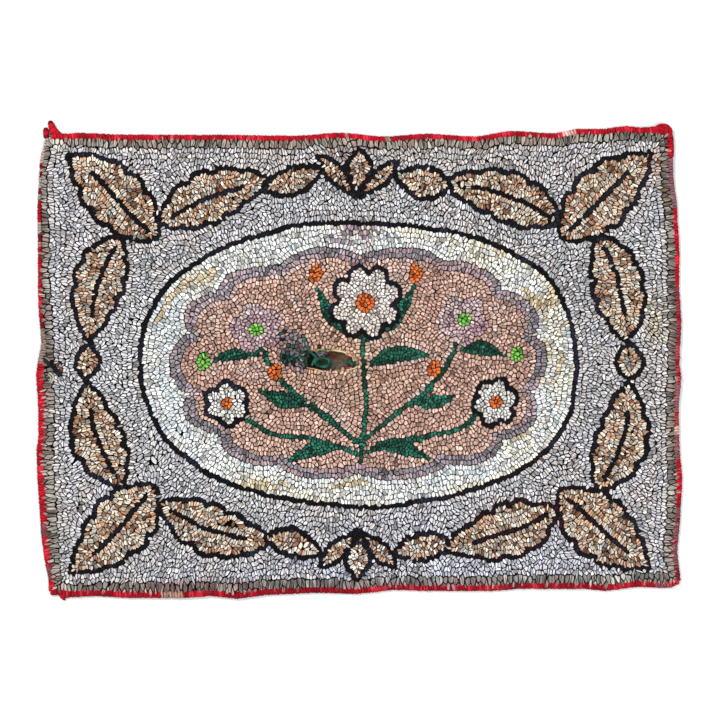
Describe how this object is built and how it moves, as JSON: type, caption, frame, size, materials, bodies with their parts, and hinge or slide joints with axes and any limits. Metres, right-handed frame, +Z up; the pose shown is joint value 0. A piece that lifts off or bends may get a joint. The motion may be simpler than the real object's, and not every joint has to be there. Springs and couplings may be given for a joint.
{
  "type": "hooked rug",
  "caption": "Oblong hooked rug for a floor or wall: looped yarn pile on a burlap foundation with a whipped yarn edging and a worn hole.",
  "frame": {"origin": "on the surface the rug lies on, below the middle of its outline", "axes": "+X to the right along the long side, +Y to the top edge as it is looked at, +Z up out of the pile"},
  "size_m": [0.9708, 0.7214, 0.0116],
  "materials": {
    "burlap": "coarse plain weave, dry and frayed",
    "wool_pile": "short looped wool and cotton strips, matt",
    "red_yarn": "whipped yarn, matt, faded and worn in places"
  },
  "bodies": {
    "root": {"foundation": "burlap", "hooked_pile": "wool_pile", "edging_top": "red_yarn", "edging_right": "red_yarn", "edging_bottom": "red_yarn", "edging_left": "red_yarn"}
  },
  "joints": []
}
